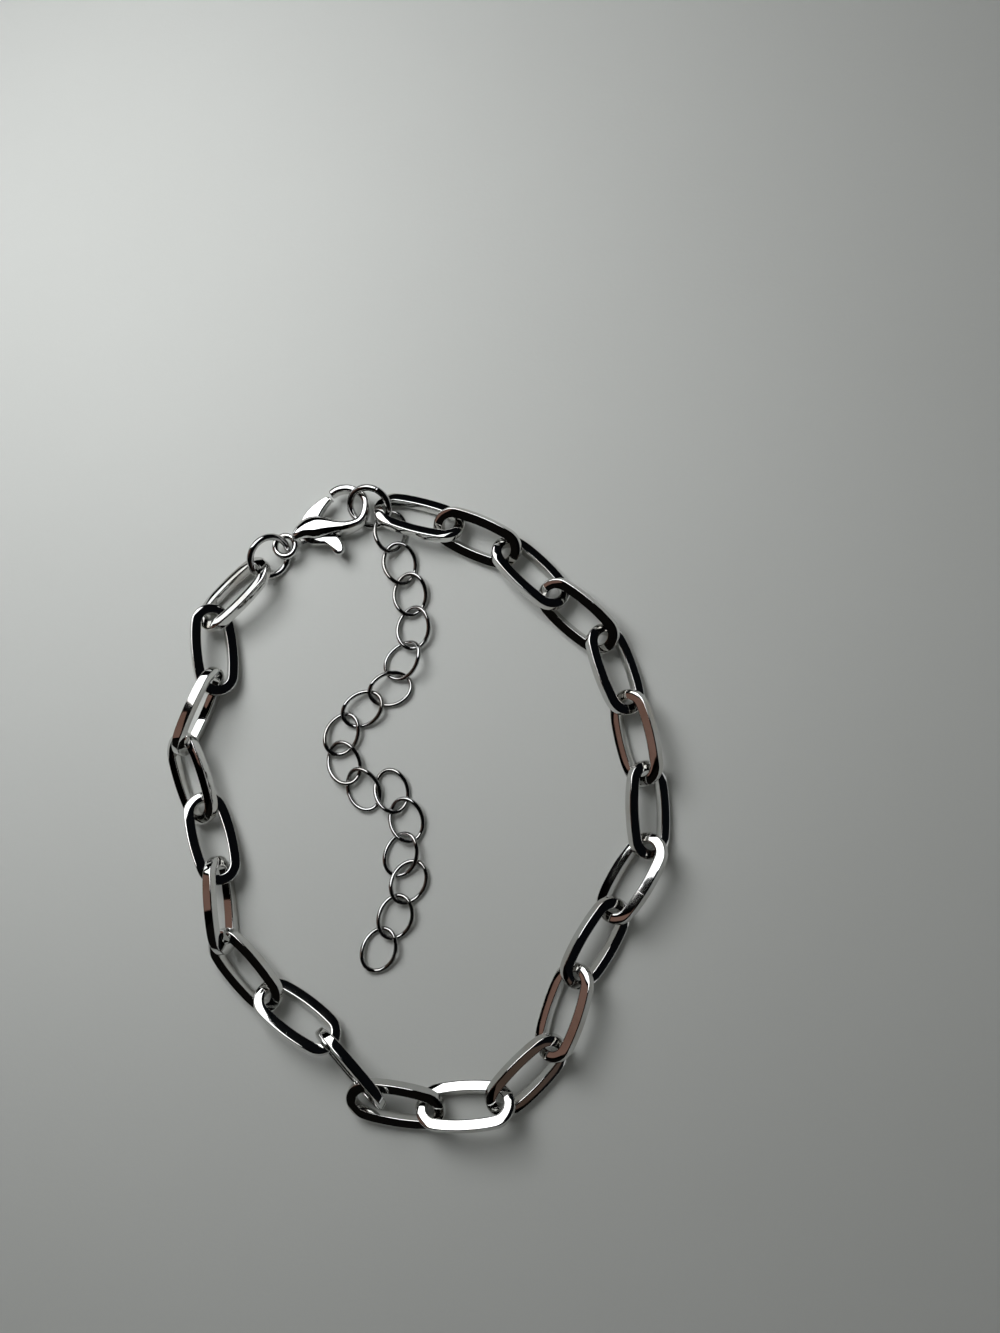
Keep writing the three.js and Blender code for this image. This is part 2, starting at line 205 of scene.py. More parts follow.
# Fine extender wire: the same plating, with its tint darkened as painted shade, standing in for the shaded
# floor and dark edges that the thin round wire reflects.
EXTENDER_FINISH = PlatedFinish("rhodium_plated_fine_wire", Making.DRAWN, "#AAAAA9", "#989590", (0.03, 0.07))
# Cast clasp, tumbled before plating: broad bright bands with soft ends.
CLASP_FINISH = PlatedFinish("rhodium_plated_casting", Making.CAST, "#D4D4D3", "#C6C3BE", (0.04, 0.09),
                            mark_mm=0.16, mark_height_mm=0.0006)


@dataclass(frozen=True)
class FloorFinish:
    """Pale matt board, a cool grey with a faint cloudiness."""

    name: str = "pale_matt_board"
    light: str = "#D8D9D5"
    cloud: str = "#D0D1CD"
    cloud_mm: float = 60.0
    grit_mm: float = 0.5
    grit_height_mm: float = 0.01
    roughness: float = 0.75

    def material(self) -> bpy.types.Material:
        """Builds the floor's finish."""
        made = bpy.data.materials.new(self.name)
        made.use_nodes = True
        tree = made.node_tree
        tree.nodes.clear()
        place = add_node(tree, "ShaderNodeTexCoord").outputs["Object"]
        cloud = add_node(tree, "ShaderNodeTexNoise", {
            "Vector": place, "Scale": 1 / (self.cloud_mm * MM), "Detail": 4.0,
        }).outputs["Fac"]
        colour = add_node(tree, "ShaderNodeMix", {"Factor": cloud}, data_type="RGBA")
        for socket, shade in ((6, self.light), (7, self.cloud)):
            colour.inputs[socket].default_value = linear(shade)
        grit = add_node(tree, "ShaderNodeTexNoise", {
            "Vector": place, "Scale": 1 / (self.grit_mm * MM), "Detail": 3.0,
        }).outputs["Fac"]
        rough = add_node(tree, "ShaderNodeBump", {
            "Height": grit, "Distance": self.grit_height_mm * MM, "Strength": 1.0,
        }).outputs["Normal"]
        board = add_node(tree, "ShaderNodeBsdfPrincipled", {
            "Base Color": colour.outputs[2], "Roughness": self.roughness, "Specular IOR Level": 0.0,
            "Normal": rough,
        })
        add_node(tree, "ShaderNodeOutputMaterial", {"Surface": board.outputs["BSDF"]})
        return made


@dataclass(frozen=True)
class Lay:
    """Where a ring-shaped piece lies: its middle, its own axes and its length and width."""

    middle: Vector
    turn: Quaternion
    length: float
    width: float

    @classmethod
    def of(cls, node: str) -> "Lay":
        """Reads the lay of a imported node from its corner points.

        Args:
            node: The node's name.

        Returns:
            Its lay, with X along the piece, Y across it and Z square to its flat side.
        """
        points = np.array([v.co for v in frame["nodes"][node].data.vertices], float)
        # Faces that meet repeat their corners, so each corner is counted once.
        corners = np.unique(np.round(points, CORNER_DIGITS), axis=0)
        middle = corners.mean(axis=0)
        _, axes = np.linalg.eigh(np.cov((corners - middle).T))
        along, across = axes[:, 2], axes[:, 1]
        up = np.cross(along, across)
        if up[2] < 0:
            across, up = -across, -up
        length, width = (np.ptp(corners @ axis) for axis in (along, across))
        turn = Matrix((along, across, up)).transposed().to_quaternion()
        return cls(Vector(middle), turn, float(length), float(width))


class WireInput(Enum):
    """The named inputs of the tree that sweeps a wire."""

    WIDTH = "Wire Width"
    HEIGHT = "Wire Height"
    SQUARENESS = "Section Squareness"
    CROWN = "Face Crown"
    PRESS = "Bend Press"
    SIDES = "Section Points"
    PLACE = "Place"
    TURN = "Turn"
    FINISH = "Finish"


@dataclass
class WireSweep:
    """Geometry Nodes tree that sweeps a drawn wire round a closed path and lays it in its place."""

    tree: bpy.types.NodeTree = field(init=False)
    keys: dict[WireInput, str] = field(init=False, default_factory=dict)

    def __post_init__(self) -> None:
        """Builds the tree once, for every wire piece of the bracelet."""
        self.tree = bpy.data.node_groups.new("drawn_wire", "GeometryNodeTree")
        faces = self.tree.interface
        faces.new_socket("Geometry", in_out="INPUT", socket_type="NodeSocketGeometry")
        kinds = {WireInput.SIDES: "NodeSocketInt", WireInput.PLACE: "NodeSocketVector",
                 WireInput.TURN: "NodeSocketRotation", WireInput.FINISH: "NodeSocketMaterial"}
        for named in WireInput:
            kind = kinds.get(named, "NodeSocketFloat")
            self.keys[named] = faces.new_socket(named.value, in_out="INPUT", socket_type=kind).identifier
        faces.new_socket("Geometry", in_out="OUTPUT", socket_type="NodeSocketGeometry")
        self.link_nodes(add_node(self.tree, "NodeGroupInput"))

    def section(self, given: bpy.types.Node) -> bpy.types.NodeSocket:
        """Adds the wire's section: a circle squared up by a power, with faintly crowned faces.

        Args:
            given: The tree's group input node.

        Returns:
            The section's curve output.
        """
        tree = self.tree
        circle = add_node(tree, "GeometryNodeCurvePrimitiveCircle", {
            "Resolution": given.outputs[WireInput.SIDES.value], "Radius": 1.0,
        }).outputs["Curve"]
        share = add_node(tree, "GeometryNodeSplineParameter").outputs["Factor"]
        # Distance round the wire, from a girth of about four widths.
        girth = add_node(tree, "ShaderNodeMath", {0: given.outputs[WireInput.WIDTH.value], 1: 4.0},
                         operation="MULTIPLY").outputs[0]
        across = add_node(tree, "ShaderNodeMath", {0: share, 1: girth}, operation="MULTIPLY").outputs[0]
        around = add_node(tree, "GeometryNodeStoreNamedAttribute", {
            "Geometry": circle, "Name": "around", "Value": across,
        }, data_type="FLOAT", domain="POINT").outputs[0]
        angle = add_node(tree, "ShaderNodeMath", {0: share, 1: 2 * math.pi}, operation="MULTIPLY").outputs[0]
        power = add_node(tree, "ShaderNodeMath", {0: 2.0, 1: given.outputs[WireInput.SQUARENESS.value]},
                         operation="DIVIDE").outputs[0]
        sides = []
        for wave in ("COSINE", "SINE"):
            swing = add_node(tree, "ShaderNodeMath", {0: angle}, operation=wave).outputs[0]
            size = add_node(tree, "ShaderNodeMath", {0: swing}, operation="ABSOLUTE").outputs[0]
            squared = add_node(tree, "ShaderNodeMath", {0: size, 1: power}, operation="POWER").outputs[0]
            sign = add_node(tree, "ShaderNodeMath", {0: swing}, operation="SIGN").outputs[0]
            signed = add_node(tree, "ShaderNodeMath", {0: squared, 1: sign}, operation="MULTIPLY")
            sides.append(signed.outputs[0])
        places = []
        for side, other, full in ((0, 1, WireInput.WIDTH), (1, 0, WireInput.HEIGHT)):
            half = add_node(tree, "ShaderNodeMath", {0: given.outputs[full.value], 1: 0.5},
                            operation="MULTIPLY").outputs[0]
            reach = add_node(tree, "ShaderNodeMath", {0: sides[side], 1: half},
                             operation="MULTIPLY").outputs[0]
            edge = add_node(tree, "ShaderNodeMath", {0: sides[other], 1: 2.0}, operation="POWER").outputs[0]
            fall = add_node(tree, "ShaderNodeMath", {0: edge, 1: given.outputs[WireInput.CROWN.value]},
                            operation="MULTIPLY").outputs[0]
            keep = add_node(tree, "ShaderNodeMath", {0: 1.0, 1: fall}, operation="SUBTRACT").outputs[0]
            crowned = add_node(tree, "ShaderNodeMath", {0: reach, 1: keep}, operation="MULTIPLY")
            places.append(crowned.outputs[0])
        point = add_node(tree, "ShaderNodeCombineXYZ", {"X": places[0], "Y": places[1]}).outputs[0]
        return add_node(tree, "GeometryNodeSetPosition", {"Geometry": around, "Position": point}).outputs[0]

    def link_nodes(self, given: bpy.types.Node) -> None:
        """Adds the sweep itself, from the path's edges to the placed and dressed wire.

        Args:
            given: The tree's group input node.
        """
        tree = self.tree
        path = add_node(tree, "GeometryNodeMeshToCurve", {"Mesh": given.outputs["Geometry"]}).outputs[0]
        up = add_node(tree, "GeometryNodeInputNamedAttribute", {"Name": "up"},
                      data_type="FLOAT_VECTOR").outputs["Attribute"]
        held = add_node(tree, "GeometryNodeSetCurveNormal", {"Curve": path, "Normal": up},
                        mode="FREE").outputs[0]
        pinch = add_node(tree, "GeometryNodeInputNamedAttribute", {"Name": "pinch"},
                         data_type="FLOAT").outputs["Attribute"]
        full = add_node(tree, "ShaderNodeMath", {0: 1.0, 1: pinch}, operation="SUBTRACT").outputs[0]
        swept = add_node(tree, "GeometryNodeCurveToMesh", {
            "Curve": held, "Profile Curve": self.section(given), "Scale": full,
        }).outputs[0]
        laid = add_node(tree, "GeometryNodeTransform", {
            "Geometry": self.press_bends(swept, given),
            "Translation": given.outputs[WireInput.PLACE.value],
            "Rotation": given.outputs[WireInput.TURN.value],
        }).outputs[0]
        real = add_node(tree, "GeometryNodeRealizeInstances", {"Geometry": laid}).outputs[0]
        smooth = add_node(tree, "GeometryNodeSetShadeSmooth", {"Geometry": real}).outputs[0]
        dressed = add_node(tree, "GeometryNodeSetMaterial", {
            "Geometry": smooth, "Material": given.outputs[WireInput.FINISH.value],
        }).outputs[0]
        add_node(tree, "NodeGroupOutput", {"Geometry": dressed})

    def press_bends(self, swept: bpy.types.NodeSocket, given: bpy.types.Node) -> bpy.types.NodeSocket:
        """Thins the outer side of the bends, where the wire stretched as it was bent.

        Args:
            swept: The swept wire, still in its own plane.
            given: The tree's group input node.

        Returns:
            The wire with pressed bends.
        """
        tree = self.tree
        middle, out = (add_node(tree, "GeometryNodeInputNamedAttribute", {"Name": name},
                                data_type="FLOAT_VECTOR").outputs["Attribute"] for name in ("middle", "out"))
        point = add_node(tree, "GeometryNodeInputPosition").outputs[0]
        off = add_node(tree, "ShaderNodeVectorMath", {0: point, 1: middle}, operation="SUBTRACT").outputs[0]
        reach = add_node(tree, "ShaderNodeVectorMath", {0: off, 1: out},
                         operation="DOT_PRODUCT").outputs["Value"]
        outer = add_node(tree, "ShaderNodeMath", {0: reach, 1: 0.0}, operation="MAXIMUM").outputs[0]
        share = add_node(tree, "ShaderNodeMath", {0: outer, 1: 2.0}, operation="POWER").outputs[0]
        loss = add_node(tree, "ShaderNodeMath", {0: share, 1: given.outputs[WireInput.PRESS.value]},
                        operation="MULTIPLY").outputs[0]
        height = add_node(tree, "ShaderNodeSeparateXYZ", {0: off}).outputs["Z"]
        drop = add_node(tree, "ShaderNodeMath", {0: height, 1: loss}, operation="MULTIPLY").outputs[0]
        down = add_node(tree, "ShaderNodeMath", {0: drop, 1: -1.0}, operation="MULTIPLY").outputs[0]
        shift = add_node(tree, "ShaderNodeCombineXYZ", {"Z": down}).outputs[0]
        return add_node(tree, "GeometryNodeSetPosition", {"Geometry": swept, "Offset": shift}).outputs[0]

    def sweep(self, name: str, path: "WirePath", sizes: dict[WireInput, Any], lay: Lay) -> bpy.types.Object:
        """Sweeps a wire round a path and leaves it as a plain mesh.

        Args:
            name: The piece's name.
            path: The closed path, in the piece's own plane.
            sizes: The wire's inputs, apart from its place and turn.
            lay: Where the piece lies.

        Returns:
            The piece, at the origin, with its place in its mesh.
        """
        piece = bpy.data.objects.new(name, path.mesh(name))
        bpy.context.scene.collection.objects.link(piece)
        modifier = piece.modifiers.new("drawn_wire", "NODES")
        modifier.node_group = self.tree
        placed = {**sizes, WireInput.PLACE: lay.middle, WireInput.TURN: lay.turn.to_euler()}
        for named, value in placed.items():
            modifier[self.keys[named]] = value
        return plain(piece)


def plain(piece: bpy.types.Object) -> bpy.types.Object:
    """Turns a piece with modifiers to one plain mesh.

    Args:
        piece: An object with live modifiers.

    Returns:
        The same object, with its result as its mesh and no modifier.
    """
    bpy.context.view_layer.update()
    shown = piece.evaluated_get(bpy.context.evaluated_depsgraph_get())
    mesh = bpy.data.meshes.new_from_object(shown)
    mesh.name = piece.name
    piece.modifiers.clear()
    piece.data = mesh
    return piece


def settle_piece(piece: bpy.types.Object, node: str, body: Body) -> None:
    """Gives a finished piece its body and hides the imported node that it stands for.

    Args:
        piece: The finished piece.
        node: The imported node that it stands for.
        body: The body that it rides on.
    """
    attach(piece, body.value)
    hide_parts(node)
    LOG.info("%s for %s: %d faces", piece.name, node, len(piece.data.polygons))


@dataclass
class WirePath:
    """A closed middle line with, at each point, its own up and outward directions, run and pinch."""

    points: np.ndarray
    up: np.ndarray
    out: np.ndarray
    run: np.ndarray
    pinch: np.ndarray

    def mesh(self, name: str) -> bpy.types.Mesh:
        """Makes the path a ring of edges that carries its values.

        Args:
            name: The mesh's name.

        Returns:
            A mesh of points and edges.
        """
        count = len(self.points)
        mesh = bpy.data.meshes.new(name)
        mesh.from_pydata(self.points.tolist(), [(i, (i + 1) % count) for i in range(count)], [])
        for label, kind, values, key in (("up", "FLOAT_VECTOR", self.up, "vector"),
                                         ("middle", "FLOAT_VECTOR", self.points, "vector"),
                                         ("out", "FLOAT_VECTOR", self.out, "vector"),
                                         ("along", "FLOAT", self.run, "value"),
                                         ("pinch", "FLOAT", self.pinch, "value")):
            mesh.attributes.new(label, kind, "POINT").data.foreach_set(key, values.astype(np.float32).ravel())
        return mesh


@dataclass(frozen=True)
class Seam:
    """The butt joint where a wire's two ends meet: a fine groove round the wire."""

    depth: float
    half_width: float = 0.03 * MM
    rows: int = 4

    def runs(self) -> np.ndarray:
        """Gives the extra places along the wire that show the groove's shape."""
        reach = np.linspace(0, 3 * self.half_width, self.rows)
        return np.concatenate([-reach[:0:-1], reach])

    def pinch(self, run: np.ndarray) -> np.ndarray:
        """Gives how far the wire draws in.

        Args:
            run: Distance from the joint along the wire.

        Returns:
            The share of the wire's size that is lost.
        """
        return self.depth * np.exp(-(run / self.half_width) ** 2)


@dataclass
class PaperclipLinks:
    """The long oval links of near-square wire."""

    count: int = 22
    wire_width: float = 1.03 * MM
    wire_height: float = 1.08 * MM
    squareness: float = 10.5
    crown: float = 0.011
    press: float = 0.26
    bend_start: float = 1.3
    cant_deg: float = 0.8
    side_bow: float = 0.22 * MM
    path_points: int = 132
    section_points: int = 36
    warp_deg: float = 0.9
    seam: Seam = Seam(depth=0.0015, half_width=0.018 * MM)
    seam_spread: float = 1.6 * MM

    def oval(self, run: np.ndarray, half_length: float, half_width: float) -> np.ndarray:
        """Walks round an oval of four arcs: two round ends and two slightly bowed sides.

        Args:
            run: Share of the way round, from the middle of the side at +Y.
            half_length: Half of the oval's length.
            half_width: Half of its width.

        Returns:
            A point for each share, in the oval's plane.
        """
        end = half_width - self.side_bow
        end_x = half_length - end
        side = (half_width ** 2 + end_x ** 2 - end ** 2) / (2 * self.side_bow)
        swing = math.atan2(end_x, side - half_width)
        quarter_side, quarter_end = side * swing, end * (math.pi / 2 - swing)
        quarter = quarter_side + quarter_end
        walked = np.mod(run, 1.0) * 4 * quarter
        turn = np.floor(walked / quarter).astype(int) % 4
        rest = walked - turn * quarter
        rest = np.where(turn % 2 == 0, rest, quarter - rest)
        on_side = rest < quarter_side
        angle = np.where(on_side, rest / side, swing + (rest - quarter_side) / end)
        x = np.where(on_side, side * np.sin(angle), end_x + end * np.sin(angle))
        y = np.where(on_side, side * np.cos(angle) - (side - half_width), end * np.cos(angle))
        sign_x = np.where(turn < 2, 1, -1)
        sign_y = np.where((turn == 0) | (turn == 3), 1, -1)
        return np.stack([sign_x * x, sign_y * y, np.zeros_like(x)], axis=1)

    def path(self, lay: Lay, draw: np.random.Generator) -> WirePath:
        """Makes one link's middle line, with its own slight warp and the place of its joint.

        Args:
            lay: Where the link lies.
            draw: The source of the small differences between links.

        Returns:
            The link's path, starting at its joint.
        """
        half_length = (lay.length - self.wire_width) / 2
        half_width = (lay.width - self.wire_width) / 2
        round_about = 4 * (half_length + half_width * (math.pi / 2 - 1))
        start = draw.choice([0.0, 0.5]) + draw.uniform(-1, 1) * self.seam_spread / round_about
        even = np.arange(1, self.path_points) / self.path_points
        near = self.seam.runs() / round_about
        share = np.sort(np.concatenate([even, np.mod(near, 1.0)]))
        flat = self.oval(share + start, half_length, half_width)
        twist, arch = np.radians(draw.uniform(-1, 1, 2) * self.warp_deg)
        x, y = flat[:, 0], flat[:, 1]
        height = twist * x * y / half_length + arch * x * x / (2 * half_length)
        slope_x = twist * y / half_length + arch * x / half_length
        slope_y = twist * x / half_length
        ahead = np.roll(flat, -1, axis=0) - np.roll(flat, 1, axis=0)
        out = np.stack([-ahead[:, 1], ahead[:, 0], np.zeros_like(x)], axis=1)
        out /= np.linalg.norm(out, axis=1, keepdims=True)
        cant = math.tan(math.radians(self.cant_deg))
        up = np.stack([-slope_x, -slope_y, np.ones_like(x)], axis=1) + out * cant
        up /= np.linalg.norm(up, axis=1, keepdims=True)
        bend = np.clip((np.abs(x) - half_length + half_width * self.bend_start) / half_width, 0, 1)
        flat[:, 2] = height - height.mean()
        from_joint = np.where(share > 0.5, share - 1, share) * round_about
        pressed_out = out * bend[:, None] * 2 / self.wire_width
        return WirePath(flat, up, pressed_out, from_joint, self.seam.pinch(from_joint))

    def build(self, wires: WireSweep, draw: np.random.Generator) -> list[bpy.types.Object]:
        """Builds every link in its place.

        Args:
            wires: The tree that sweeps wires.
            draw: The source of the small differences between links.

        Returns:
            The links, first to last.
        """
        sizes = {WireInput.WIDTH: self.wire_width, WireInput.HEIGHT: self.wire_height,
                 WireInput.SQUARENESS: self.squareness, WireInput.CROWN: self.crown,
                 WireInput.PRESS: self.press, WireInput.SIDES: self.section_points,
                 WireInput.FINISH: LINK_FINISH.material()}
        links = []
        for number in range(1, self.count + 1):
            node = f"link_{number:02d}"
            lay = Lay.of(node)
            links.append(wires.sweep(f"square_wire_{node}", self.path(lay, draw), sizes, lay))
            settle_piece(links[-1], node, Body.CHAIN)
        return links


@dataclass
class RoundRings:
    """Rings of round wire: jump rings, and extender rings that are twisted to lie flat."""

    nodes: list[str]
    packed_wire: float
    wire: float
    finish: PlatedFinish
    slot: Slot
    twist_deg: float = 0.0
    path_points: int = 96
    section_points: int = 20
    seam: Seam = Seam(depth=0.0)

    def path(self, lay: Lay) -> WirePath:
        """Makes a ring's middle line, an ellipse with its ends turned opposite ways.

        Args:
            lay: Where the ring lies.

        Returns:
            The ring's path, starting at its joint.
        """
        half_length, half_width = (lay.length - self.packed_wire) / 2, (lay.width - self.packed_wire) / 2
        round_about = math.pi * (half_length + half_width)
        even = np.arange(1, self.path_points) / self.path_points
        share = np.sort(np.concatenate([even, np.mod(self.seam.runs() / round_about, 1.0)]))
        angle = 2 * math.pi * (share + 0.25)
        x, y = half_length * np.cos(angle), half_width * np.sin(angle)
        lean = -math.radians(self.twist_deg) * 2 * x / lay.length
        points = np.stack([x, y * np.cos(lean), y * np.sin(lean)], axis=1)
        up = np.stack([np.zeros_like(x), -np.sin(lean), np.cos(lean)], axis=1)
        from_joint = np.where(share > 0.5, share - 1, share) * round_about
        return WirePath(points, up, np.zeros_like(points), from_joint, self.seam.pinch(from_joint))

    def build(self, wires: WireSweep) -> list[bpy.types.Object]:
        """Builds every ring in its place.

        Args:
            wires: The tree that sweeps wires.

        Returns:
            The rings, in the order of their nodes.
        """
        sizes = {WireInput.WIDTH: self.wire, WireInput.HEIGHT: self.wire, WireInput.SQUARENESS: 2.0,
                 WireInput.CROWN: 0.0, WireInput.PRESS: 0.0, WireInput.SIDES: self.section_points,
                 WireInput.FINISH: self.finish.material()}
        rings = []
        for node in self.nodes:
            lay = Lay.of(node)
            rings.append(wires.sweep(f"round_wire_{node}", self.path(lay), sizes, lay))
            settle_piece(rings[-1], node, Body.CHAIN)
        return rings


class Station(NamedTuple):
    """A section of the clasp's casting, in millimetres: u from the eye to the hook, v to the gate."""

    u: float
    v: float
    half_width: float
    half_height: float


CASTING = (
    Station(1.05, 0.12, 0.42, 0.36),
    Station(1.40, 0.18, 0.55, 0.86),
    Station(1.75, 0.26, 0.69, 1.04),
    Station(2.50, 0.42, 1.02, 1.17),
    Station(3.30, 0.40, 1.32, 1.24),
    Station(4.10, 0.15, 1.36, 1.26),
    Station(5.10, -0.33, 1.08, 1.21),
    Station(5.90, -0.76, 0.78, 1.14),
    Station(6.70, -1.08, 0.62, 1.04),
    Station(7.50, -1.24, 0.52, 0.89),
    Station(8.50, -1.19, 0.45, 0.69),
    Station(9.30, -0.74, 0.43, 0.62),
    Station(9.85, 0.00, 0.43, 0.60),
    Station(10.10, 0.85, 0.44, 0.60),
    Station(9.87, 1.70, 0.44, 0.60),
    Station(9.20, 2.52, 0.45, 0.60),
    Station(8.50, 2.95, 0.45, 0.60),
    Station(7.65, 3.13, 0.44, 0.60),
    Station(6.98, 3.02, 0.40, 0.57),
)

# The lever's edge in the same plane: from the gate's tip, round the pivot, out to the trigger and back.
LEVER_OUTLINE = (
    (6.40, 2.98), (5.80, 2.96), (4.50, 2.66), (3.40, 2.18), (2.60, 1.50), (2.15, 0.95), (2.02, 0.35),
    (2.25, -0.50), (2.70, -1.15), (3.55, -1.62), (4.25, -2.00), (4.52, -2.60), (4.68, -3.20), (4.98, -3.56),
    (5.42, -3.58), (5.76, -3.26), (5.90, -2.70), (5.84, -2.15), (5.62, -1.70), (4.90, -1.30), (4.05, -0.80),
    (3.70, -0.10), (3.95, 0.60), (4.70, 1.15), (5.35, 1.66), (6.20, 2.16), (6.82, 2.46),
)


def smooth_run(points: np.ndarray, steps: int) -> np.ndarray:
    """Runs a smooth curve through points.

    Args:
        points: One row for each point, with any number of columns.
        steps: How many steps the curve takes from one point to the next.

    Returns:
        The curve's rows, from the first point to the last.
    """
    before = 2 * points[0] - points[1]
    after = 2 * points[-1] - points[-2]
    held = np.vstack([before, points, after])
    rows = []
    for i in range(1, len(held) - 2):
        a, b, c, d = held[i - 1:i + 3]
        for t in np.arange(steps) / steps:
            rows.append(0.5 * (2 * b + (c - a) * t + (2 * a - 5 * b + 4 * c - d) * t ** 2
                               + (3 * b - a - 3 * c + d) * t ** 3))
    return np.array(rows + [points[-1]])


def solid_mesh(name: str, loops: np.ndarray, closed: bool) -> bpy.types.Object:
    """Skins a row of loops as one closed solid.

    Args:
        name: The object's name.
        loops: Loops by points by three coordinates.
        closed: True where the last loop joins the first, False where both ends get a cap.

    Returns:
        The solid, with its faces pointing outwards.
    """
    count, size = loops.shape[:2]
    faces = []
    for i in range(count if closed else count - 1):
        j = (i + 1) % count
        for k in range(size):
            m = (k + 1) % size
            faces.append((i * size + k, i * size + m, j * size + m, j * size + k))
    if not closed:
        faces += [tuple(range(size)), tuple((count - 1) * size + k for k in range(size))]
    mesh = bpy.data.meshes.new(name)
    mesh.from_pydata(loops.reshape(-1, 3).tolist(), [], faces)
    shape = bmesh.new()
    shape.from_mesh(mesh)
    bmesh.ops.recalc_face_normals(shape, faces=shape.faces)
    shape.to_mesh(mesh)
    shape.free()
    solid = bpy.data.objects.new(name, mesh)
    bpy.context.scene.collection.objects.link(solid)
    return solid


def carve(solid: bpy.types.Object, tool: bpy.types.Object, operation: str) -> bpy.types.Object:
    """Joins a tool solid to another, or cuts it out, and removes the tool.

    Args:
        solid: The solid that is kept.
        tool: The solid that is used up.
        operation: UNION or DIFFERENCE.

    Returns:
        The kept solid, as a plain mesh.
    """
    cut = solid.modifiers.new("carve", "BOOLEAN")
    cut.operation, cut.object, cut.solver = operation, tool, "EXACT"
    plain(solid)
    spent = tool.data
    bpy.data.objects.remove(tool)
    bpy.data.meshes.remove(spent)
    return solid


